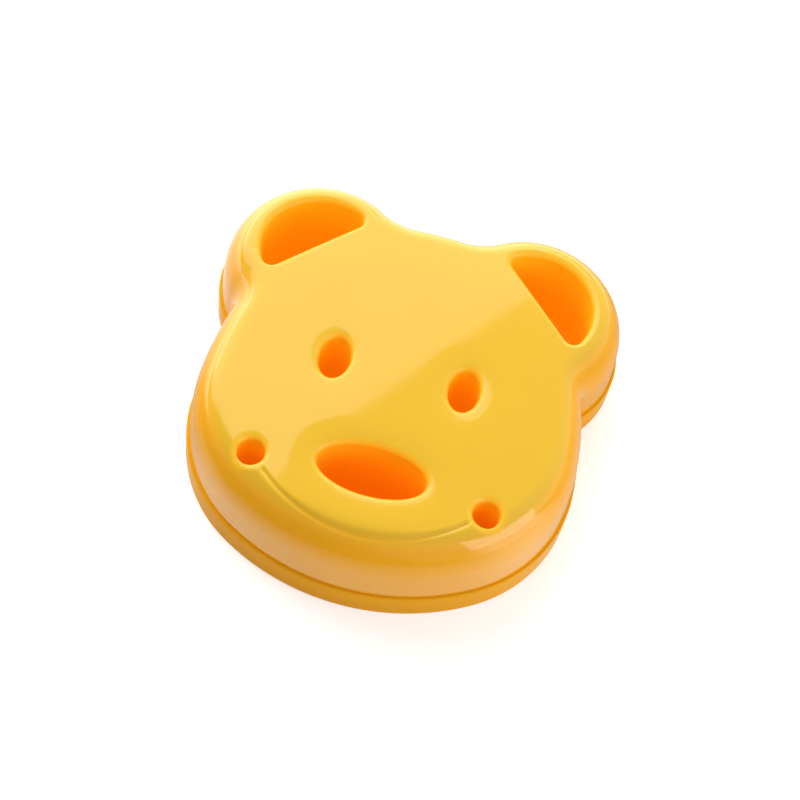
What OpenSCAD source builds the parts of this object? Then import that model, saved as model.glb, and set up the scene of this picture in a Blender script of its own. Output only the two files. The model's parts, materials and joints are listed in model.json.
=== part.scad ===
// Sandwich cutter shaped like a plain bear's head.
// A cutting ring stands on the bread, and a face press slides up and out of it along the ring's guide neck.
// The face's eyes, nose, mouth and ears are hollow stamps, open at the top and closed at the bottom.
// X runs ear to ear, Y from the chin to the ears, Z up from the cutting edge. Origin: middle of the base.

/* [Head outline] */
// Overall width, ear to ear
head_w = 95.4; // [90:0.1:104]
// Overall length, chin to ear tops
head_l = 94.6; // [90:0.1:104]
// Width across the cheeks
cheek_w = 88.8; // [84:0.1:94]
// Height of the widest cheek line above the chin
cheek_rise = 36.3; // [33:0.1:40]
// Radius of the chin
chin_r = 54; // [49:0.1:60]
// Radius of the cheek corners
cheek_r = 33.8; // [31:0.1:37]
// Radius of the long sides of the cheeks
side_r = 76.5; // [68:0.5:88]
// Radius of the crown between the ears
crown_r = 62; // [55:0.5:72]
// Drop from the ear tops to the crown
crown_drop = 5.8; // [4:0.1:7]
// Radius of each ear
ear_r = 22.5; // [20:0.1:24]
// Hollow radius where an ear meets the cheek
cheek_notch_r = 4.6; // [3:0.1:9]
// Hollow radius where an ear meets the crown
crown_notch_r = 11; // [8:0.1:22]

/* [Cutting ring] */
// Height of the ring's outer band
ring_h = 7.4; // [6:0.1:9]
// Thickness of the cutting wall
blade_t = 1.8; // [1.4:0.1:2.4]
// Width of the flat land on the cutting edge
edge_land = 0.5; // [0.3:0.1:0.9]
// Height of the bevel behind the cutting edge
bevel_h = 4; // [2:0.1:5]
// Thickness of the shelf that the press sits on
shelf_t = 1.8; // [1.2:0.1:2.4]
// Chamfer on the shelf's outer edge and on top of the neck
edge_chamfer = 0.4; // [0.2:0.1:0.6]
// Thickness of the guide neck
neck_t = 1; // [0.8:0.1:1.6]
// Height of the guide neck above the shelf
neck_h = 8.6; // [6:0.1:9.5]

/* [Face press] */
// Height of the whole cutter
total_h = 28; // [26:0.1:32]
// Step in from the ring's band to the press's wall
lip_inset = 1; // [0.6:0.1:1.6]
// Wall thickness of the press
wall = 1.5; // [1.2:0.1:2.2]
// Inward lean of the side wall from lip to shoulder
draft = 0.5; // [0.2:0.1:1]
// Radius of the shoulder between the side wall and the face
shoulder_r = 6.5; // [5:0.1:8]
// Radius of the crowned face
dome_r = 600; // [300:10:900]
// Gap between the press's wall and the guide neck
guide_gap = 0.3; // [0.2:0.05:0.6]

/* [Face] */
// Wall of the hollow stamps under the face
stamp_wall = 1.2; // [1:0.1:1.6]
// Thickness of the stamps' ends
stamp_floor = 1; // [0.8:0.1:2]
// Height of the stamps' ends above the cutting edge
stamp_end = 2.4; // [2:0.1:5]
// Gap between the mouth stamps and the guide neck
mouth_gap = 0.4; // [0.3:0.1:1]
// Width of an eye
eye_w = 7; // [5:0.1:9]
// Height of an eye
eye_h = 11; // [8:0.1:13]
// Distance of each eye from the midline
eye_x = 14.4; // [12:0.1:17]
// Place of the eyes along the face
eye_y = -3; // [-6:0.1:0]
// Width of the nose
nose_w = 24.8; // [20:0.1:28]
// Height of the nose
nose_h = 13.4; // [10:0.1:15]
// Place of the nose along the face
nose_y = -26.9; // [-29:0.1:-24]
// Diameter of the mouth corners
mouth_d = 6.2; // [5:0.1:7.5]
// Direction of the mouth corners round the cheek
mouth_angle = -52; // [-56:1:-40]
// Width of the smile line and of the stamping rib below it
smile_w = 1.2; // [1:0.1:1.6]
// Depth of the smile line
smile_depth = 0.5; // [0.3:0.1:0.8]
// Gap between the smile rib and the guide neck
smile_gap = 0.4; // [0.3:0.1:1.5]
// Gap between the ear stamps and the guide neck
ear_gap = 2.8; // [1:0.1:4]
// Corner radius of the ear pockets
ear_corner_r = 2.5; // [1.5:0.1:4]
// Lean of each ear from the face's midline
ear_lean = 45; // [40:1:50]

/* [Hidden] */
yellow = [0.98, 0.77, 0.25];

// Insets from the ring's outer outline
wall_inset = lip_inset + draft;
neck_out = wall_inset + wall + guide_gap;
neck_in = neck_out + neck_t;
mouth_inset = neck_in + mouth_gap + stamp_wall + mouth_d / 2;
smile_inset = neck_in + smile_gap + smile_w / 2;
ear_pocket_r = ear_r - neck_in - ear_gap - stamp_wall;

// Centres of the outline's arcs on the right half of the head
chin_c = [0, chin_r - head_l / 2];
side_c = [cheek_w / 2 - side_r, cheek_rise - head_l / 2];
crown_c = [0, head_l / 2 - crown_drop - crown_r];
ear_c = [head_w / 2 - ear_r, head_l / 2 - ear_r];
cheek_c = meet(chin_c, chin_r - cheek_r, side_c, side_r - cheek_r, 1);
cheek_notch_c = meet(side_c, side_r + cheek_notch_r, ear_c, ear_r + cheek_notch_r, -1);
crown_notch_c = meet(crown_c, crown_r + crown_notch_r, ear_c, ear_r + crown_notch_r, 1);

// Directions at which one arc hands over to the next
chin_end = heading(chin_c, cheek_c);
cheek_end = heading(side_c, cheek_c);
side_end = heading(side_c, cheek_notch_c);
ear_start = heading(ear_c, cheek_notch_c);
ear_end = heading(ear_c, crown_notch_c);
crown_start = heading(crown_c, crown_notch_c);

// Steps along each arc of the outline, up the shoulder and across the face
chin_steps = 7;
cheek_steps = 8;
side_steps = 4;
notch_steps = 4;
ear_steps = 8;
crown_steps = 4;
shoulder_steps = 5;
face_steps = 4;
oval_steps = 40;
smile_steps = 24;

// The shoulder stops where it has the slope of the crowned face
shoulder_end = 90 - atan(head_l / 2 / dome_r);

// Mouth corner on the right cheek, and the arc of the smile through both corners and the chin
mouth_c = cheek_c + (cheek_r - mouth_inset) * unit(mouth_angle);
smile_low = smile_inset - head_l / 2;
smile_sag = mouth_c.y - smile_low;
smile_r = (mouth_c.x * mouth_c.x + smile_sag * smile_sag) / (2 * smile_sag);
smile_c = [0, smile_low + smile_r];
smile_half = asin(mouth_c.x / smile_r);

function unit(a) = [cos(a), sin(a)];

function heading(from, to) = atan2(to.y - from.y, to.x - from.x);

// Point at distance d1 from c1 and d2 from c2, on the left of the line between them when side is 1
function meet(c1, d1, c2, d2, side) =
    let (v = c2 - c1, l = norm(v), along = (d1 * d1 - d2 * d2 + l * l) / (2 * l))
    c1 + (along * v + side * sqrt(d1 * d1 - along * along) * [-v.y, v.x]) / l;

// Points on an arc, without its last one
function arc(c, r, from, to, steps) =
    [for (i = [0:steps - 1]) c + r * unit(from + (to - from) * i / steps)];

// Right half of the outline from the chin to the crown, moved inwards by inset
function half_outline(inset) = concat(
    arc(chin_c, chin_r - inset, -90, chin_end, chin_steps),
    arc(cheek_c, cheek_r - inset, chin_end, cheek_end, cheek_steps),
    arc(side_c, side_r - inset, cheek_end, side_end, side_steps),
    arc(cheek_notch_c, cheek_notch_r + inset, side_end + 180, ear_start + 180, notch_steps),
    arc(ear_c, ear_r - inset, ear_start, 0, notch_steps),
    arc(ear_c, ear_r - inset, 0, 90, ear_steps),
    arc(ear_c, ear_r - inset, 90, ear_end, notch_steps),
    arc(crown_notch_c, crown_notch_r + inset, ear_end + 180, crown_start + 180, notch_steps),
    arc(crown_c, crown_r - inset, crown_start, 90, crown_steps),
    [crown_c + [0, crown_r - inset]]
);

// Whole outline, counter-clockwise from the chin
function outline(inset) =
    let (half = half_outline(inset), last = len(half) - 1)
    concat(half, [for (i = [last - 1:-1:1]) [-half[i].x, half[i].y]]);

points_round = len(outline(0));

function level_ring(inset, z) = [for (p = outline(inset)) [p.x, p.y, z]];

// Height of the crowned face above a point of the plan
function face_z(p) = total_h - (p * p) / (2 * dome_r);

// Inset at which the shoulder of the skin at this depth has turned by an angle
function shoulder_inset(depth, turn) = wall_inset + depth + (shoulder_r - depth) * (1 - cos(turn));

// Ring of the shoulder at one angle, on the skin that lies depth below the press's outside
function shoulder_ring(depth, turn) =
    let (edge = outline(shoulder_inset(depth, shoulder_end)), ring = outline(shoulder_inset(depth, turn)))
    let (below = depth + (shoulder_r - depth) * (sin(shoulder_end) - sin(turn)))
    [for (i = [0:points_round - 1]) [ring[i].x, ring[i].y, face_z(edge[i]) - below]];

// Ring of the face, drawn in towards the middle by a share
function face_ring(depth, share) =
    [for (p = share * outline(shoulder_inset(depth, shoulder_end))) [p.x, p.y, face_z(p) - depth]];

// Rings of one skin of the press, from its lower rim up to the innermost ring of the face
function skin(depth, low_z) = concat(
    [level_ring(lip_inset + depth, low_z)],
    [for (i = [0:shoulder_steps]) shoulder_ring(depth, shoulder_end * i / shoulder_steps)],
    [for (i = [1:face_steps - 1]) face_ring(depth, 1 - i / face_steps)]
);

function reversed(list) = [for (i = [len(list) - 1:-1:0]) list[i]];

function joined(lists) = [for (list = lists) each list];

// Faces between two rings of n points that start at a and b
function band(a, b, n) = [
    for (i = [0:n - 1]) let (j = (i + 1) % n) each [[a + i, b + i, b + j], [a + i, b + j, a + j]]
];

// Faces of a stack of rings whose first point has the index start
function stack(start, count, n) = [for (k = [0:count - 2]) each band(start + k * n, start + (k + 1) * n, n)];

function fan_in(a, tip, n) = [for (i = [0:n - 1]) [a + i, tip, a + (i + 1) % n]];

function fan_out(tip, b, n) = [for (i = [0:n - 1]) [tip, b + i, b + (i + 1) % n]];

function oval(w, h) = [for (p = arc([0, 0], 0.5, 0, 360, oval_steps)) [w * p.x, h * p.y]];

// Half disc with rounded corners, its straight side through the origin, grown outwards by grow
function half_disc(grow) =
    let (reach = ear_pocket_r - ear_corner_r, turn = asin(ear_corner_r / reach))
    let (corner = reach * unit(turn), r = ear_corner_r + grow)
    concat(
        arc(corner, r, -90, turn, notch_steps),
        arc([0, 0], ear_pocket_r + grow, turn, 180 - turn, ear_steps),
        arc([-corner.x, corner.y], r, 180 - turn, 270, notch_steps),
        [[-corner.x, corner.y - r]]
    );

// Height of the press's outside at a point of the plan near the chin or a cheek
function skin_z(p) =
    let (q = [abs(p.x), p.y], on_chin = heading(chin_c, q) < chin_end)
    let (c = on_chin ? chin_c : cheek_c, r = on_chin ? chin_r : cheek_r, away = q - c)
    let (inset = r - norm(away), edge_inset = shoulder_inset(0, shoulder_end))
    inset >= edge_inset ? face_z(q) :
    let (turn = acos(1 - (inset - wall_inset) / shoulder_r), edge = c + away / norm(away) * (r - edge_inset))
    face_z(edge) - shoulder_r * (sin(shoulder_end) - sin(turn));

// Solid closed by a point in the middle of its base and one in the middle of its face
module capped(rings, base_z, top_z) {
    n = points_round;
    tip = len(rings) * n;
    polyhedron(
        concat(joined(rings), [[0, 0, base_z], [0, 0, top_z]]),
        concat(fan_out(tip, 0, n), stack(0, len(rings), n), fan_in((len(rings) - 1) * n, tip + 1, n))
    );
}

// Outer and inner skin of the press, joined at the lip
module press_shell() {
    n = points_round;
    outer = skin(0, ring_h);
    inner = reversed(skin(wall, ring_h));
    count = len(outer);
    tip = 2 * count * n;
    polyhedron(
        concat(joined(outer), joined(inner), [[0, 0, total_h], [0, 0, total_h - wall]]),
        concat(
            stack(0, count, n),
            fan_in((count - 1) * n, tip, n),
            fan_out(tip + 1, count * n, n),
            stack(count * n, count, n),
            band((2 * count - 1) * n, 0, n)
        )
    );
}

// Plan of the pockets in the face, grown outwards by grow
module face_plan(grow) {
    translate([0, nose_y]) polygon(oval(nose_w + 2 * grow, nose_h + 2 * grow));
    for (side = [0, 1]) mirror([side, 0]) {
        translate([eye_x, eye_y]) polygon(oval(eye_w + 2 * grow, eye_h + 2 * grow));
        translate(mouth_c) circle(d = mouth_d + 2 * grow, $fn = oval_steps);
        translate(ear_c) rotate(-ear_lean) polygon(half_disc(grow));
    }
}

module smile_plan() {
    polygon(concat(
        arc(smile_c, smile_r + smile_w / 2, -90 - smile_half, -90 + smile_half, smile_steps),
        arc(smile_c, smile_r - smile_w / 2, -90 + smile_half, -90 - smile_half, smile_steps)
    ));
}

// Shallow groove that follows the skin from one mouth corner to the other
module smile_groove() {
    n = 3;
    stations = [
        for (i = [0:smile_steps])
        let (out = unit(-90 + smile_half * (2 * i / smile_steps - 1)), p = smile_c + smile_r * out)
        let (z = skin_z(p), inner = p - smile_w * out, outer = p + smile_w * out)
        [
            [p.x, p.y, z - smile_depth],
            [inner.x, inner.y, skin_z(inner) + smile_depth],
            [outer.x, outer.y, skin_z(outer) + smile_depth]
        ]
    ];
    last = smile_steps * n;
    polyhedron(
        joined(stations),
        concat(stack(0, smile_steps + 1, n), [[0, 1, 2], [last + 2, last + 1, last]])
    );
}

module cutting_ring() {
    shelf_low = ring_h - shelf_t;
    neck_top = ring_h + neck_h;
    section = [
        [edge_land, 0],
        [0, 0],
        [0, ring_h - edge_chamfer],
        [edge_chamfer, ring_h],
        [neck_out, ring_h],
        [neck_out, neck_top - edge_chamfer],
        [neck_out + edge_chamfer, neck_top],
        [neck_in, neck_top],
        [neck_in, shelf_low],
        [blade_t, shelf_low],
        [blade_t, bevel_h]
    ];
    n = points_round;
    count = len(section);
    color(yellow) polyhedron(
        joined([for (s = section) level_ring(s[0], s[1])]),
        concat(stack(0, count, n), band((count - 1) * n, 0, n))
    );
}

module face_press() {
    color(yellow) difference() {
        union() {
            press_shell();
            intersection() {
                capped(skin(wall / 2, 0), 0, total_h - wall / 2);
                translate([0, 0, stamp_end]) linear_extrude(total_h) {
                    face_plan(stamp_wall);
                    smile_plan();
                }
            }
        }
        translate([0, 0, stamp_end + stamp_floor]) linear_extrude(total_h) face_plan(0);
        smile_groove();
    }
}

cutting_ring();
face_press();
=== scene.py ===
import json
import math

import bmesh
import bpy
from mathutils import Matrix, Vector

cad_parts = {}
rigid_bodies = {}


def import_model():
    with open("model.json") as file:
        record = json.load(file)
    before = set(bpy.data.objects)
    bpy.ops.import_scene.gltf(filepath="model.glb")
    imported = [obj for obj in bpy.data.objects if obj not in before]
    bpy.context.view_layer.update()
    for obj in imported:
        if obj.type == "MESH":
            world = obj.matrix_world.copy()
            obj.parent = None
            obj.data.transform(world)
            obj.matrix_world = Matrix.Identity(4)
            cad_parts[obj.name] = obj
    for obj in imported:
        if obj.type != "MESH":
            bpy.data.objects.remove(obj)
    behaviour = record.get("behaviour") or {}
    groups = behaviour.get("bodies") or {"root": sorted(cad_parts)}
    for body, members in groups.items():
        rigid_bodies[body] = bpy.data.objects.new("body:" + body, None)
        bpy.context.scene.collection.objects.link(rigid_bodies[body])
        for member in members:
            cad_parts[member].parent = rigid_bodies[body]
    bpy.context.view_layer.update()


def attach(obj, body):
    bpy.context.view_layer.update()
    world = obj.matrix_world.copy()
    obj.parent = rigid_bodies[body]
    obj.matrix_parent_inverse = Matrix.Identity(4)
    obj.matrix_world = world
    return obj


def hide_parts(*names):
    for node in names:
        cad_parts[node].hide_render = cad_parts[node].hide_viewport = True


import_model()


# Cutting ring: the golden band at the foot of the cutter, one gloss plastic moulding.
# Its bevelled lower edge cuts the bread, its shelf carries the press, and its neck guides the press.
# Its section is drawn at the chin and carried round the head's outline, from arc to arc.
mm = 0.001
head_w = 95.4 * mm
head_l = 94.6 * mm
cheek_w = 88.8 * mm
cheek_rise = 36.3 * mm
chin_r = 54 * mm
cheek_r = 33.8 * mm
side_r = 76.5 * mm
crown_r = 62 * mm
crown_drop = 5.8 * mm
ear_r = 22.5 * mm
cheek_notch_r = 4.6 * mm
crown_notch_r = 11 * mm
outline_step = 1.1 * mm
weld = 0.002 * mm


def unit(a):
    return Vector((math.cos(a), math.sin(a)))


def heading(start, end):
    return math.atan2(end.y - start.y, end.x - start.x)


def meet(c1, d1, c2, d2, side):
    """Point at distance d1 from c1 and d2 from c2, left of the line between them when side is 1."""
    across = c2 - c1
    along = (d1 * d1 - d2 * d2 + across.length_squared) / (2 * across.length)
    ahead = across.normalized()
    return c1 + along * ahead + side * math.sqrt(d1 * d1 - along * along) * Vector((-ahead.y, ahead.x))


chin_c = Vector((0, chin_r - head_l / 2))
side_c = Vector((cheek_w / 2 - side_r, cheek_rise - head_l / 2))
crown_c = Vector((0, head_l / 2 - crown_drop - crown_r))
ear_c = Vector((head_w / 2 - ear_r, head_l / 2 - ear_r))
cheek_c = meet(chin_c, chin_r - cheek_r, side_c, side_r - cheek_r, 1)
cheek_notch_c = meet(side_c, side_r + cheek_notch_r, ear_c, ear_r + cheek_notch_r, -1)
crown_notch_c = meet(crown_c, crown_r + crown_notch_r, ear_c, ear_r + crown_notch_r, 1)
chin_end = heading(chin_c, cheek_c)
cheek_end = heading(side_c, cheek_c)
side_end = heading(side_c, cheek_notch_c)
ear_start = heading(ear_c, cheek_notch_c)
ear_end = heading(ear_c, crown_notch_c)
crown_start = heading(crown_c, crown_notch_c)
quarter = math.pi / 2
head_arcs = [
    (chin_c, chin_r, -quarter, chin_end),
    (cheek_c, cheek_r, chin_end, cheek_end),
    (side_c, side_r, cheek_end, side_end),
    (cheek_notch_c, cheek_notch_r, side_end + math.pi, ear_start + math.pi),
    (ear_c, ear_r, ear_start, ear_end),
    (crown_notch_c, crown_notch_r, ear_end - math.pi, crown_start - math.pi),
    (crown_c, crown_r, crown_start, quarter),
]


def first_point(name, place):
    """New object of a single point, a plane drawn together in edit mode."""
    bpy.ops.object.select_all(action="DESELECT")
    bpy.ops.mesh.primitive_plane_add(size=mm)
    made = bpy.context.active_object
    made.name = made.data.name = name
    bpy.ops.object.mode_set(mode="EDIT")
    bpy.ops.mesh.select_mode(type="VERT")
    bpy.ops.mesh.merge(type="CENTER")
    bpy.ops.transform.translate(value=place)
    return made


def draw_line(points):
    """Draws on from the selected point, which is the first of the points, through the others."""
    for a, b in zip(points, points[1:]):
        bpy.ops.mesh.extrude_vertices_move(TRANSFORM_OT_translate={"value": Vector(b) - Vector(a)})


def pick(obj, kind, test):
    """Selects the points, edges or faces of the mesh in edit mode that pass a test."""
    bpy.ops.mesh.select_mode(type={"verts": "VERT", "edges": "EDGE", "faces": "FACE"}[kind])
    bpy.ops.mesh.select_all(action="DESELECT")
    mesh = bmesh.from_edit_mesh(obj.data)
    for part in getattr(mesh, kind):
        if test(part):
            part.select_set(True)
    mesh.select_flush_mode()
    bmesh.update_edit_mesh(obj.data)


def carry_round_head():
    """Spins the selected section through the arcs of the head, from the chin round to the chin."""
    turns = [(c, end - start, r) for c, r, start, end in head_arcs]
    turns += [(Vector((-c.x, c.y)), turn, r) for c, turn, r in reversed(turns)]
    for c, turn, r in turns:
        steps = max(4, round(abs(turn) * r / outline_step))
        bpy.ops.mesh.spin(steps=steps, angle=turn, center=(c.x, c.y, 0), axis=(0, 0, -1))
    bpy.ops.mesh.select_all(action="SELECT")
    bpy.ops.mesh.remove_doubles(threshold=weld)


ring_h = 7.4 * mm
blade_t = 1.8 * mm
edge_land = 0.5 * mm
bevel_h = 4 * mm
shelf_low = 5.6 * mm
neck_out = 3.3 * mm
neck_in = 4.3 * mm
neck_top = 16 * mm
edge_round = 0.12 * mm
ring_round = 0.4 * mm
smooth_angle = math.radians(40)
chin_y = -head_l / 2
ring_section = [
    (edge_land, 0),
    (0, 0),
    (0, ring_h),
    (neck_out, ring_h),
    (neck_out, neck_top),
    (neck_in, neck_top),
    (neck_in, shelf_low),
    (blade_t, shelf_low),
    (blade_t, bevel_h),
    (edge_land, 0),
]
ring_points = [(0, chin_y + inset, z) for inset, z in ring_section]
ring = first_point("ring_moulding", ring_points[0])
draw_line(ring_points)
bpy.ops.mesh.select_all(action="SELECT")
bpy.ops.mesh.remove_doubles(threshold=weld)
pick(ring, "verts", lambda v: v.co.z < mm)
bpy.ops.mesh.bevel(affect="VERTICES", offset=edge_round, segments=3, profile=0.5)
pick(ring, "verts", lambda v: v.co.z > ring_h - mm / 2)
bpy.ops.mesh.bevel(affect="VERTICES", offset=ring_round, segments=5, profile=0.5)
bpy.ops.mesh.select_all(action="SELECT")
carry_round_head()
bpy.ops.mesh.normals_make_consistent(inside=False)
bpy.ops.object.mode_set(mode="OBJECT")
bpy.ops.object.shade_smooth_by_angle(angle=smooth_angle)
ring_shading = ring.modifiers.new("even_shading", "WEIGHTED_NORMAL")
ring_shading.keep_sharp = True
bpy.ops.object.modifier_apply(modifier="even_shading")


class Tone:
    """A socket of a material's nodes, so that shader maths reads as plain sums."""

    def __init__(self, tree, socket=None):
        self.tree = tree
        self.socket = socket

    def node(self, kind, settings, inputs, output=0):
        made = self.tree.nodes.new(kind)
        for name, value in settings.items():
            setattr(made, name, value)
        for name, value in inputs.items():
            if isinstance(value, Tone):
                self.tree.links.new(value.socket, made.inputs[name])
            else:
                made.inputs[name].default_value = value
        return Tone(self.tree, made.outputs[output])

    def sum(self, operation, a, b):
        return self.node("ShaderNodeMath", {"operation": operation}, {0: a, 1: b})

    def __add__(self, other):
        return self.sum("ADD", self, other)

    __radd__ = __add__

    def __sub__(self, other):
        return self.sum("SUBTRACT", self, other)

    def __rsub__(self, other):
        return self.sum("SUBTRACT", other, self)

    def __mul__(self, other):
        return self.sum("MULTIPLY", self, other)

    __rmul__ = __mul__

    def ramp(self, low, high, first=0, last=1, kind="LINEAR"):
        """Goes from first to last while the value goes from low to high."""
        ends = {"Value": self, "From Min": low, "From Max": high, "To Min": first, "To Max": last}
        return self.node("ShaderNodeMapRange", {"interpolation_type": kind}, ends)

    def mix(self, a, b):
        return self.node("ShaderNodeMix", {"data_type": "RGBA"}, {"Factor": self, 6: a, 7: b}, 2)


def yellow_plastic(name, with_pockets, shine):
    """Yellow plastic with the faint cloud and ripple of a moulded skin. Painted shade turns it deeper orange below
    the face, and a painted glow on its walls stands in for the light it lets through; with pockets, they are
    painted deeper orange and glow, most on rims that face the chin.
    """
    material = bpy.data.materials.new(name)
    material.use_nodes = True
    tree = material.node_tree
    tree.nodes.clear()
    start = Tone(tree)
    place = start.node("ShaderNodeTexCoord", {}, {}, "Object")
    x, y, z = (start.node("ShaderNodeSeparateXYZ", {}, {"Vector": place}, axis) for axis in "XYZ")
    dome_fall = 0.83
    level = z + (x * x + y * y) * dome_fall
    high = level.ramp(25.2 * mm, 27.7 * mm)
    flat = level.ramp(26.4 * mm, 27.6 * mm)
    middle = level.ramp(15 * mm, 24 * mm)
    cloud = start.node("ShaderNodeTexNoise", {}, {"Vector": place, "Scale": 38.0, "Detail": 3.0})
    ripple = start.node("ShaderNodeTexNoise", {}, {"Vector": place, "Scale": 420.0, "Detail": 2.0})
    # painted shade: below the face the plastic is a deeper orange, the orange of plastic in shade; the faint cloud
    # of tone in both colours is the plastic's own
    painted_shade_colour = cloud.mix((0.93, 0.42, 0.012, 1), (0.96, 0.45, 0.016, 1))
    face_colour = cloud.mix((0.90, 0.53, 0.027, 1), (0.93, 0.56, 0.035, 1))
    colour = high.mix(painted_shade_colour, face_colour)
    # painted glow: the walls glow faintly orange, rising from the foot to the shoulder and fading out on the face,
    # in place of light let through the thin plastic
    painted_wall_glow = middle.mix((0.04, 0.013, 0, 1), (0.10, 0.035, 0.003, 1))
    glow = flat.mix(painted_wall_glow, (0, 0, 0, 1))
    rough = 0.045 + 0.04 * cloud
    shader = tree.nodes.new("ShaderNodeBsdfPrincipled")
    if with_pockets:
        deep = start.node("ShaderNodeAttribute", {"attribute_name": "pocket"}, {}, "Fac")
        rim = start.node("ShaderNodeAttribute", {"attribute_name": "rim"}, {}, "Fac")
        back = y.ramp(-30 * mm, 30 * mm)
        # painted shade: the pockets are painted a deeper orange the deeper they go
        painted_pocket_shade = middle.mix((0.98, 0.39, 0.006, 1), (0.99, 0.50, 0.01, 1))
        # painted glow inside the pockets, brighter and yellower towards the back of the head
        painted_pocket_glow = back.mix((0.12, 0.042, 0, 1), (0.16, 0.09, 0, 1))
        # painted glow, strongest, on the pockets' rims that face the chin
        painted_rim_glow = (0.34, 0.15, 0.005, 1)
        colour = (deep * deep).mix(colour, painted_pocket_shade)
        glow = rim.mix(deep.mix(glow, painted_pocket_glow), painted_rim_glow)
        rough = rough + 0.45 * deep
    skin = start.node("ShaderNodeBump", {}, {"Strength": 0.03, "Distance": 0.0002, "Height": ripple})
    shader.inputs["IOR"].default_value = 1.5
    shader.inputs["Specular IOR Level"].default_value = shine
    # the painted glows go into the emission
    shader.inputs["Emission Strength"].default_value = 1
    tree.links.new(glow.socket, shader.inputs["Emission Color"])
    tree.links.new(colour.socket, shader.inputs["Base Color"])
    tree.links.new(rough.socket, shader.inputs["Roughness"])
    tree.links.new(skin.socket, shader.inputs["Normal"])
    end = tree.nodes.new("ShaderNodeOutputMaterial")
    tree.links.new(shader.outputs[0], end.inputs["Surface"])
    return material


# the ring lies below the face, so it takes the painted shade's deeper orange and the faint painted glow of the
# foot; its gloss is kept very faint
ring.data.materials.append(yellow_plastic("ring_plastic", False, 0.015))
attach(ring, "ring")
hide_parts("cutting_ring")


# Face press: the domed head above the parting line, one moulding in the same gloss plastic.
# Its eyes, nose, mouth corners and ears are hollow stamps, and its smile is a shallow groove over a rib.
# Each skin is laid out flat, raised to the dome, then its pockets are drawn down; the lip joins the two skins.
total_h = 28 * mm
lip_inset = 0.6 * mm
wall = 1.5 * mm
draft = 0.4 * mm
shoulder_r = 7 * mm
shoulder_h = 12 * mm
dome_r = 600 * mm
wall_inset = lip_inset + draft
shoulder_inset = wall_inset + shoulder_r
stamp_out = 1.5 * mm
stamp_end = 2.4 * mm
stamp_floor = 1 * mm
ear_lean = math.radians(45)
ear_pocket_r = 13.45 * mm
ear_corner_r = 2.2 * mm
ear_chord = 0.95 * mm
mouth_c = cheek_c + (cheek_r - 9 * mm) * unit(math.radians(-52)) + Vector((0, 0.3 * mm))
mouth_r = 2.98 * mm
eye_c = Vector((14.65, -2.4)) * mm
eye_half = Vector((3.48, 5.25)) * mm
nose_c = Vector((0, -27.0)) * mm
nose_half = Vector((12.05, 5.78)) * mm
smile_low = 5.3 * mm - head_l / 2
smile_sag = mouth_c.y - smile_low
smile_r = (mouth_c.x**2 + smile_sag**2) / (2 * smile_sag)
smile_c = Vector((0, smile_low + smile_r))
face_inset = 9 * mm


def head_edge(p):
    """Depth of a point inside the outline, and the way out to the nearest edge."""
    q = Vector((abs(p[0]), p[1]))
    best = None
    for c, r, start, end in head_arcs:
        away = q - c
        turned = math.atan2(away.y, away.x)
        low, high = min(start, end), max(start, end)
        while turned < low - 1e-5:
            turned += 2 * math.pi
        if turned > high + 1e-5:
            continue
        convex = end > start
        depth = r - away.length if convex else away.length - r
        if best is None or abs(depth) < abs(best[0]):
            best = (depth, away.normalized() * (1 if convex else -1))
    depth, out = best
    return depth, Vector((math.copysign(out.x, p[0] * out.x) if p[0] else 0, out.y))


def from_oval(p, c, half):
    """Distance of a point outside an oval, close to the oval."""
    q = Vector(((p[0] - c.x) / half.x, (p[1] - c.y) / half.y))
    if q.length < 1e-6:
        return -min(half)
    return q.length * (q.length - 1) / Vector((q.x / half.x, q.y / half.y)).length


def from_ear_pocket(p):
    """Distance of a point outside the half disc of an ear, which leans outwards."""
    q = Matrix.Rotation(ear_lean, 2) @ (Vector((abs(p[0]), p[1])) - ear_c)
    reach = ear_pocket_r - ear_corner_r
    rise = ear_chord + ear_corner_r
    corner = Vector((math.sqrt(reach**2 - rise**2), rise))
    to_corner = Vector((abs(q.x), q.y)) - corner
    below = rise - q.y
    beyond = q.length - reach
    past = to_corner.x > 0 and to_corner.dot(Vector((-corner.y, corner.x))) < 0
    return (to_corner.length if past else max(below, beyond)) - ear_corner_r


def from_smile(p, trim):
    """Distance of a point from the smile's line, which stops short of the mouth corners by an angle."""
    q = Vector((abs(p[0]), p[1])) - smile_c
    half = math.asin(mouth_c.x / smile_r) - trim
    turned = math.atan2(q.x, -q.y)
    if turned <= half:
        return abs(q.length - smile_r)
    return (q - smile_r * Vector((math.sin(half), -math.cos(half)))).length


def from_pockets(p, grow):
    """Distance of a point outside each kind of pocket, with its walls moved out by grow."""
    q = Vector((abs(p[0]), p[1]))
    return {
        "nose": from_oval(q, nose_c, nose_half) - grow,
        "eye": from_oval(q, eye_c, eye_half) - grow,
        "mouth": (q - mouth_c).length - mouth_r - grow,
        "ear": from_ear_pocket(q) - grow,
    }


def draw_oval(c, half, points, offsets):
    """Draws an oval band round a pocket, a circle drawn in from the outermost offset to the pocket's wall."""
    first = half + Vector((offsets[0], offsets[0]))
    bpy.ops.mesh.primitive_circle_add(vertices=points, radius=1, location=(c.x, c.y, 0))
    bpy.ops.transform.resize(value=(first.x, first.y, 1), center_override=(c.x, c.y, 0))
    for before, after in zip(offsets, offsets[1:]):
        bpy.ops.mesh.extrude_region_move()
        scale = ((half.x + after) / (half.x + before), (half.y + after) / (half.y + before), 1)
        bpy.ops.transform.resize(value=scale, center_override=(c.x, c.y, 0))


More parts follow.
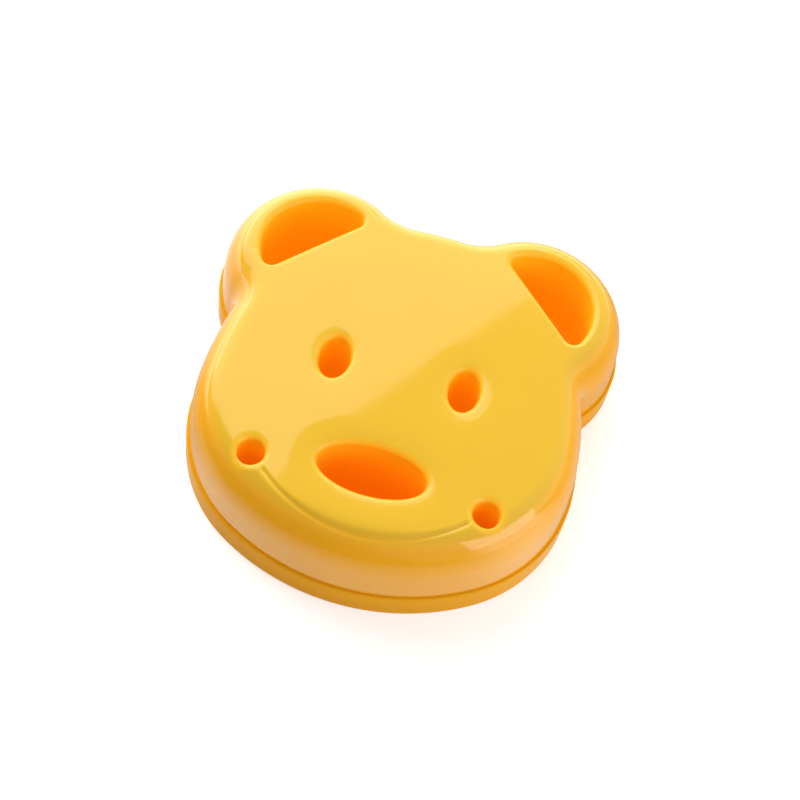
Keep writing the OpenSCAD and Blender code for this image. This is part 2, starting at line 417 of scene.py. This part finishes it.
def draw_ear_band(obj, offsets, grow):
    """Draws the band round the right ear's pocket: a row carried along its chord and spun round its arcs."""
    ahead = unit(-ear_lean)
    over = unit(math.pi / 2 - ear_lean)
    reach = ear_pocket_r - ear_corner_r
    rise = ear_chord + ear_corner_r
    turn = math.asin(rise / reach)
    half_chord = reach * math.cos(turn)
    corners = [ear_c + half_chord * side * ahead + rise * over for side in (1, -1)]
    row = [ear_c + (ear_chord - grow - offset) * over for offset in offsets]
    chord_steps = 12
    step = half_chord / chord_steps * ahead
    bpy.ops.mesh.select_all(action="DESELECT")
    bpy.ops.mesh.primitive_plane_add(size=mm / 100)
    bpy.ops.mesh.merge(type="CENTER")
    bpy.ops.transform.translate(value=(row[0].x, row[0].y, 0))
    draw_line([(p.x, p.y, 0) for p in row])
    low = row[0]
    pick(obj, "verts", lambda v: not v.link_faces and (v.co.xy - low).length < offsets[0] + mm / 10)
    for _ in range(chord_steps):
        bpy.ops.mesh.extrude_region_move(TRANSFORM_OT_translate={"value": (step.x, step.y, 0)})
    spins = [(corners[0], quarter + turn, 8), (ear_c, math.pi - 2 * turn, 44), (corners[1], quarter + turn, 8)]
    for c, angle, steps in spins:
        bpy.ops.mesh.spin(steps=steps, angle=angle, center=(c.x, c.y, 0), axis=(0, 0, -1))
    for _ in range(chord_steps):
        bpy.ops.mesh.extrude_region_move(TRANSFORM_OT_translate={"value": (step.x, step.y, 0)})


def tidy_edge(obj):
    """Takes off stray points, edges and pinched corners along a cut edge."""
    bpy.ops.mesh.select_all(action="SELECT")
    bpy.ops.mesh.delete_loose(use_verts=True, use_edges=True, use_faces=False)
    while True:
        mesh = bmesh.from_edit_mesh(obj.data)
        pinched = {v.index for v in mesh.verts if sum(e.is_boundary for e in v.link_edges) > 2}
        if not pinched:
            return
        pick(obj, "verts", lambda v: v.index in pinched)
        bpy.ops.mesh.delete(type="VERT")
        bpy.ops.mesh.select_all(action="SELECT")
        bpy.ops.mesh.delete_loose(use_verts=True, use_edges=True, use_faces=False)


def fill_gap(obj, test):
    """Fills the gap between the open loops that have a point which passes a test."""
    tidy_edge(obj)
    mesh = bmesh.from_edit_mesh(obj.data)
    loops = set()
    waiting = [e for e in mesh.edges if e.is_boundary and all(test(v.co) for v in e.verts)]
    while waiting:
        edge = waiting.pop()
        if edge.index not in loops:
            loops.add(edge.index)
            waiting += [e for v in edge.verts for e in v.link_edges if e.is_boundary]
    pick(obj, "edges", lambda e: e.index in loops)
    bpy.ops.mesh.fill(use_beauty=True)
    bpy.ops.mesh.select_mode(type="VERT")


def press_skin(name, depth, grow, offsets, mouth_offsets, grid_step, smile_half, smile_rows):
    """One skin of the press, depth below its outside, with pockets whose walls are moved out by grow."""
    low_inset = wall_inset + depth
    radius = shoulder_r - depth
    leads = {"nose": offsets[0], "eye": offsets[0], "mouth": mouth_offsets[0], "ear": offsets[0]}
    trim = (mouth_r + grow + leads["mouth"] + 0.5 * mm) / smile_r

    def past_bands(p):
        return min(away - leads[kind] for kind, away in from_pockets(p, grow).items())

    # The shoulder's rows, from the wall in to the face, carried round the head
    turns = [math.radians(7.5 * i) for i in range(13)]
    rows = [low_inset + radius * (1 - math.cos(t)) for t in turns] + [face_inset]
    skin = first_point(name, (0, chin_y + rows[0], 0))
    draw_line([(0, chin_y + row, 0) for row in rows])
    bpy.ops.mesh.select_all(action="SELECT")
    carry_round_head()

    # The face's grid inside them
    bpy.ops.mesh.select_all(action="DESELECT")
    across, along = (round(side / grid_step) for side in (head_w, head_l))
    bpy.ops.mesh.primitive_grid_add(x_subdivisions=across, y_subdivisions=along, size=2)
    bpy.ops.transform.resize(value=(head_w / 2, head_l / 2, 1), center_override=(0, 0, 0))
    grid = bmesh.from_edit_mesh(skin.data)
    kept = {v.index for v in grid.verts if v.select and head_edge(v.co)[0] > face_inset + grid_step / 2}
    outside = {v.index for v in grid.verts if v.select} - kept
    pick(skin, "verts", lambda v: v.index in outside)
    bpy.ops.mesh.delete(type="VERT")
    fill_gap(skin, lambda p: head_edge(p)[0] > face_inset - 0.01 * mm)

    # Room for the pockets and the smile
    smile_room = smile_half + grid_step / 2
    pick(skin, "verts", lambda v: past_bands(v.co) < grid_step / 2 or from_smile(v.co, trim) < smile_room)
    bpy.ops.mesh.delete(type="VERT")
    tidy_edge(skin)
    pick(skin, "verts", lambda v: head_edge(v.co)[0] < low_inset + 0.1 * mm)
    bpy.ops.mesh.select_linked()
    bpy.ops.mesh.select_all(action="INVERT")
    bpy.ops.mesh.delete(type="VERT")

    # The bands round the pockets: the right side is drawn and mirrored, the nose stands alone
    bpy.ops.mesh.select_all(action="DESELECT")
    draw_oval(eye_c, eye_half + Vector((grow, grow)), 56, offsets)
    bpy.ops.mesh.select_all(action="DESELECT")
    draw_oval(mouth_c, Vector((mouth_r + grow, mouth_r + grow)), 96, mouth_offsets)
    draw_ear_band(skin, offsets, grow)
    pick(skin, "verts", lambda v: v.co.x > 0 and past_bands(v.co) < 0.01 * mm)
    bpy.ops.mesh.remove_doubles(threshold=weld)
    bpy.ops.mesh.duplicate()
    bpy.ops.transform.resize(value=(-1, 1, 1), center_override=(0, 0, 0))
    bpy.ops.mesh.select_all(action="DESELECT")
    draw_oval(nose_c, nose_half + Vector((grow, grow)), 96, offsets)

    # The strip under the smile's line, a row spun from cheek to cheek
    half = math.asin(mouth_c.x / smile_r) - trim
    inner, outer = smile_r - smile_half, smile_r + smile_half
    start = Vector((-math.sin(half), -math.cos(half)))
    strip = [smile_c + (inner + (outer - inner) * i / (smile_rows - 1)) * start for i in range(smile_rows)]
    bpy.ops.mesh.select_all(action="DESELECT")
    bpy.ops.mesh.primitive_plane_add(size=mm / 100)
    bpy.ops.mesh.merge(type="CENTER")
    bpy.ops.transform.translate(value=(strip[0].x, strip[0].y, 0))
    draw_line([(p.x, p.y, 0) for p in strip])
    pick(skin, "verts", lambda v: not v.link_faces and from_smile(v.co, trim) < smile_half + 0.01 * mm)
    bpy.ops.mesh.spin(steps=110, angle=2 * half, center=(smile_c.x, smile_c.y, 0), axis=(0, 0, -1))

    # The gaps between the bands and the rest
    far = 2.1 * grid_step
    for kind in ("nose", "eye", "ear"):
        for side in (-1, 1):
            if kind == "nose" and side < 0:
                continue
            fill_gap(
                skin,
                lambda p: -0.01 * mm < from_pockets(p, grow)[kind] - leads[kind] < far
                and (kind == "nose" or p[0] * side > 0),
            )
    fill_gap(
        skin,
        lambda p: head_edge(p)[0] > low_inset + 0.1 * mm
        and past_bands(p) > -0.01 * mm
        and (from_pockets(p, grow)["mouth"] - leads["mouth"] < far or from_smile(p, trim) < smile_room + grid_step),
    )
    bpy.ops.mesh.select_all(action="SELECT")
    bpy.ops.mesh.normals_make_consistent(inside=False)
    return skin


def skin_height(p, depth):
    """Height of a skin above a point of the plan: the crowned face, rounded down at the shoulder."""
    inset = head_edge(p)[0] - wall_inset - depth
    radius = shoulder_r - depth
    z = total_h - depth - (p[0] ** 2 + p[1] ** 2) / (2 * dome_r)
    if inset >= radius:
        return z
    return z - (shoulder_h - depth) * (1 - math.sqrt(1 - (1 - max(inset, 0) / radius) ** 2))


def raise_skin(skin, depth, shape):
    """Lifts a flat skin to its height, with a further shape on top."""
    mesh = bmesh.from_edit_mesh(skin.data)
    for v in mesh.verts:
        v.co.z = skin_height(v.co, depth) + shape(v.co)
    bmesh.update_edit_mesh(skin.data)


def sink_pockets(skin, grow, floor_z, rim_r, rim_steps, floor_r):
    """Draws the pockets' walls down to their floors and rounds their rims and floors."""
    wall_steps = [6 * mm, 5 * mm]
    rims_above = 20 * mm
    floors_below = 5 * mm

    def at_wall(e):
        return all(min(from_pockets(v.co, grow).values()) < 0.05 * mm for v in e.verts)

    def turned(e):
        return at_wall(e) and len(e.link_faces) == 2 and e.calc_face_angle() > math.radians(45)

    pick(skin, "edges", lambda e: e.is_boundary and at_wall(e))
    for drop in wall_steps:
        bpy.ops.mesh.extrude_region_move(TRANSFORM_OT_translate={"value": (0, 0, -drop)})
    bpy.ops.mesh.extrude_region_move()
    bpy.ops.transform.resize(value=(1, 1, 0), center_override=(0, 0, floor_z))
    bpy.ops.mesh.edge_face_add()
    bpy.ops.mesh.select_all(action="SELECT")
    bpy.ops.mesh.normals_make_consistent(inside=False)
    pick(skin, "edges", lambda e: turned(e) and e.verts[0].co.z > rims_above)
    bpy.ops.mesh.bevel(affect="EDGES", offset=rim_r, segments=rim_steps, profile=0.5, clamp_overlap=False)
    pick(skin, "edges", lambda e: turned(e) and e.verts[0].co.z < floors_below)
    bpy.ops.mesh.bevel(affect="EDGES", offset=floor_r, segments=3, profile=0.5, clamp_overlap=False)


def drop_wall(skin, steps):
    """Draws the skin's outer edge down through the insets and heights given."""
    for inset, z in steps:
        pick(skin, "edges", lambda e: e.is_boundary)
        bpy.ops.mesh.extrude_region_move()
        mesh = bmesh.from_edit_mesh(skin.data)
        for v in mesh.verts:
            if v.select:
                depth, out = head_edge(v.co)
                v.co.xy += (depth - inset) * out
                v.co.z = z
        bmesh.update_edit_mesh(skin.data)


# Outside of the press: the face dips towards each pocket, and the smile is a groove that fades at the mouth corners
dips = {"nose": 0.4 * mm, "eye": 0.34 * mm, "mouth": 0.06 * mm, "ear": 0.1 * mm}
dip_reach = 6 * mm
smile_w = 0.8 * mm
smile_depth = 0.4 * mm
smile_fade = 1.2 * mm
rim_r = 1.35 * mm
band_rows = [2.8 * mm, 2.1 * mm, 1.5 * mm, 0]
mouth_rows = [1.8 * mm, 0]
press = press_skin("press_moulding", 0, 0, band_rows, mouth_rows, 0.9 * mm, 1.6 * mm, 13)


def face_shape(p):
    """Dips and groove of the face at a point, below the plain dome."""
    pockets = from_pockets(p, 0)
    sunk = sum(dips[kind] * max(0, 1 - max(0, away) / dip_reach) ** 2 for kind, away in pockets.items())
    line = min(1, from_smile(p, 0) / smile_w)
    fade = min(1, max(0, (pockets["mouth"] - smile_fade) / smile_fade))
    groove = smile_depth * (0.5 + 0.5 * math.cos(math.pi * line))
    return -sunk - groove * fade * fade * (3 - 2 * fade)


raise_skin(press, 0, face_shape)
sink_pockets(press, 0, stamp_end + stamp_floor, rim_r, 6, 0.8 * mm)
lip_steps = [(lip_inset, 7.75 * mm), (lip_inset + 0.1 * mm, 7.5 * mm), (lip_inset + 0.35 * mm, ring_h)]
drop_wall(press, lip_steps)
bpy.ops.object.mode_set(mode="OBJECT")

# How deep each point lies in a pocket, and how much of a rim that faces the chin it is, for the material, which
# paints the pockets deeper orange with a glow and paints a stronger glow on those rims.
# A new attribute moves the others in memory, so the first is looked up again.
pocket_mask = press.data.attributes.new("pocket", "FLOAT", "POINT")
for v, cell in zip(press.data.vertices, pocket_mask.data):
    away = min(from_pockets(v.co, 0).values())
    sunk = skin_height(v.co, 0) + face_shape(v.co) - v.co.z
    cell.value = min(1, max(0, sunk / rim_r)) ** 0.42 if away < rim_r + 0.1 * mm else 0
painted_rim_glow_mask = press.data.attributes.new("rim", "FLOAT", "POINT")
pocket_mask = press.data.attributes["pocket"]
# the rims that face the chin get the painted glow
for v, deep, cell in zip(press.data.vertices, pocket_mask.data, painted_rim_glow_mask.data):
    to_front = -math.copysign(v.normal.y, v.normal.y * v.normal.z)
    cell.value = 3 * deep.value * (1 - deep.value) * min(1, max(0, 0.15 + 1.3 * to_front))

# Inside of the press: plain stamps with thin walls, and the rib below the smile
inside = press_skin("press_inside", wall, stamp_out, [0.6 * mm, 0], [0.6 * mm, 0], 1.5 * mm, 0.6 * mm, 2)
raise_skin(inside, wall, lambda p: 0)
sink_pockets(inside, stamp_out, stamp_end, 0.3 * mm, 2, 0.4 * mm)
drop_wall(inside, [(lip_inset + wall + 0.4 * mm, ring_h)])
rib_half = 0.6 * mm
rib_trim = (mouth_r + stamp_out + 1.1 * mm) / smile_r
roof_above = 15 * mm


def under_smile(f):
    on_line = all(from_smile(v.co, rib_trim) < rib_half + 0.01 * mm for v in f.verts)
    return on_line and f.calc_center_median().z > roof_above


pick(inside, "faces", under_smile)
bpy.ops.mesh.extrude_region_move()
bpy.ops.transform.resize(value=(1, 1, 0), center_override=(0, 0, stamp_end))
bpy.ops.mesh.select_all(action="SELECT")
bpy.ops.mesh.flip_normals()
bpy.ops.object.mode_set(mode="OBJECT")

# The two skins become one moulding, closed round the lip
bpy.ops.object.select_all(action="DESELECT")
inside.select_set(True)
press.select_set(True)
bpy.context.view_layer.objects.active = press
bpy.ops.object.join()
bpy.ops.object.mode_set(mode="EDIT")
pick(press, "edges", lambda e: e.is_boundary)
bpy.ops.mesh.bridge_edge_loops()
bpy.ops.mesh.select_all(action="SELECT")
bpy.ops.mesh.normals_make_consistent(inside=False)
bpy.ops.object.mode_set(mode="OBJECT")
bpy.ops.object.shade_smooth_by_angle(angle=smooth_angle)
press_shading = press.modifiers.new("even_shading", "WEIGHTED_NORMAL")
press_shading.keep_sharp = True
bpy.ops.object.modifier_apply(modifier="even_shading")
press.data.materials.append(yellow_plastic("press_plastic", True, 0.5))
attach(press, "press")
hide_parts("face_press")


# Table: a plain white surface that runs out of sight, with the cutter's soft shadow on it.
# In the gloss it shows a painted reflection in place of its own image: bright in a band round the cutter, most in
# front, dark beyond, with painted pools of light towards the window, the front lamp and the right.
# It isn't part of the object.
bpy.ops.object.select_all(action="DESELECT")
bpy.ops.mesh.primitive_plane_add(size=8, location=(0, 0, -0.0001))
table = bpy.context.active_object
table.name = "table"
table_white = bpy.data.materials.new("table_white")
table_white.use_nodes = True
table_tree = table_white.node_tree
table_tree.nodes.clear()
paper = Tone(table_tree)
seen = paper.node("ShaderNodeLightPath", {}, {}, "Is Camera Ray")
mirrored = paper.node("ShaderNodeLightPath", {}, {}, "Is Glossy Ray")
through = paper.node("ShaderNodeLightPath", {}, {}, "Is Transmission Ray")
spot = paper.node("ShaderNodeTexCoord", {}, {}, "Object")
aside, ahead = (paper.node("ShaderNodeSeparateXYZ", {}, {"Vector": spot}, axis) for axis in "XY")
soft = "SMOOTHSTEP"
apart = paper.sum("POWER", aside * aside + ahead * ahead, 0.5)
# painted reflection: in the gloss the table is bright in a band round the cutter, most in front, and dark further
# out
fade = apart.ramp(0.05, 0.092, 1, 0) * ahead.ramp(-0.015, -0.045, 0.35, 1, soft)
to_window = 0.8 * ahead - 0.6 * aside
# painted pool of the window's light behind on the left, seen only in the gloss
painted_window_pool = to_window.ramp(0.02, 0.15, 0, 2.4) * ahead.ramp(-0.01, 0.03, 0.1, 1, soft)
to_lamp = 0.883 * aside - 0.469 * ahead
off_lamp = 0.469 * aside + 0.883 * ahead
off_lamp = paper.sum("POWER", off_lamp * off_lamp, 0.5) - 0.35 * to_lamp
# painted pool of the front lamp's light on the table in front of it, seen only in the gloss
painted_lamp_pool = to_lamp.ramp(0.03, 0.14, 0, 1.8, soft) * off_lamp.ramp(-0.02, 0.015, 1, 0, soft)
# all the painted pools of light, with a faint one on the right
painted_pools = aside.ramp(0.02, 0.08, 0, 0.3, soft) + painted_window_pool + painted_lamp_pool
image = mirrored + through
matt = paper.node("ShaderNodeBsdfDiffuse", {}, {"Color": image.mix((0.85, 0.85, 0.85, 1), fade)})
strength = 0.5 * seen + image * (0.4 * fade + painted_pools)
glow = paper.node("ShaderNodeEmission", {}, {"Color": (1, 1, 1, 1), "Strength": strength})
both = paper.node("ShaderNodeAddShader", {}, {0: matt, 1: glow})
table_end = table_tree.nodes.new("ShaderNodeOutputMaterial")
table_tree.links.new(both.socket, table_end.inputs["Surface"])
table.data.materials.append(table_white)


# Light: a white room with a bright wall behind on the left, which the gloss shows only low down, a large soft
# window on the same side, a small soft lamp at the front right and a weak lamp above the front.
world = bpy.data.worlds.new("white_room")
bpy.context.scene.world = world
world.use_nodes = True
room_tree = world.node_tree
room_tree.nodes.clear()
room = Tone(room_tree)
way = room.node("ShaderNodeTexCoord", {}, {}, "Generated")
x, y, z = (room.node("ShaderNodeSeparateXYZ", {}, {"Vector": way}, axis) for axis in "XYZ")
glossy = room.node("ShaderNodeLightPath", {}, {}, "Is Glossy Ray")
wall_side = room.sum("MAXIMUM", -0.75 * x + 0.545 * y + 0.375 * z, 0)
wall_light = room.sum("POWER", wall_side, 7) * (0.31 * x + 0.95 * y).ramp(-0.05, 0.15, 0, 2.4, soft)
wall_light = wall_light * (1 - glossy * z.ramp(0.2, 0.34, 0, 0.85, soft))
bright = room.sum("MAXIMUM", 0.22 + 0.33 * y, 0.12) + 0.65 * room.sum("MAXIMUM", x, 0) + wall_light
air = room.node("ShaderNodeBackground", {}, {"Color": (1, 1, 1, 1), "Strength": bright})
room_end = room_tree.nodes.new("ShaderNodeOutputWorld")
room_tree.links.new(air.socket, room_end.inputs["Surface"])


def soft_lamp(name, place, across, width, height, power):
    """Area lamp that faces the origin, with its width along a direction."""
    data = bpy.data.lights.new(name, "AREA")
    data.shape = "RECTANGLE"
    data.size = width
    data.size_y = height
    data.energy = power
    lamp = bpy.data.objects.new(name, data)
    bpy.context.scene.collection.objects.link(lamp)
    away = Vector(place).normalized()
    side = (Vector(across) - away * away.dot(Vector(across))).normalized()
    facing = Matrix((side, away.cross(side), away)).transposed().to_4x4()
    lamp.matrix_world = Matrix.Translation(place) @ facing
    return lamp


soft_lamp("window", (-0.539, 0.863, 0.636), (0.674, -0.116, 0.729), 1.64, 2.0, 17.4)
soft_lamp("front_lamp", (0.636, -0.338, 0.167), (0.338, 0.636, 0), 0.55, 0.36, 1.6)
front_fill = soft_lamp("front_fill", (-0.36, -0.5, 0.78), (0.81, -0.59, 0), 0.8, 0.6, 1.2)
front_fill.visible_glossy = False


# Camera: a long lens above the table, turned a little on its axis as in the photograph.
aim = Vector((0.762, 6.657, 0.181)) * mm
distance = 441 * mm
height = math.radians(60)
turn = math.radians(3.26)
roll = math.radians(12.11)
back = Vector((math.sin(turn) * math.cos(height), -math.cos(turn) * math.cos(height), math.sin(height)))
right = Vector((math.cos(turn), math.sin(turn), 0))
upward = back.cross(right)
across = right * math.cos(roll) + upward * math.sin(roll)
upright = upward * math.cos(roll) - right * math.sin(roll)
lens = bpy.data.cameras.new("camera")
lens.lens = 85
lens.sensor_width = 36
camera = bpy.data.objects.new("camera", lens)
bpy.context.scene.collection.objects.link(camera)
facing = Matrix((across, upright, back)).transposed().to_4x4()
camera.matrix_world = Matrix.Translation(aim + distance * back) @ facing
bpy.context.scene.camera = camera
bpy.context.scene.view_settings.view_transform = "Standard"
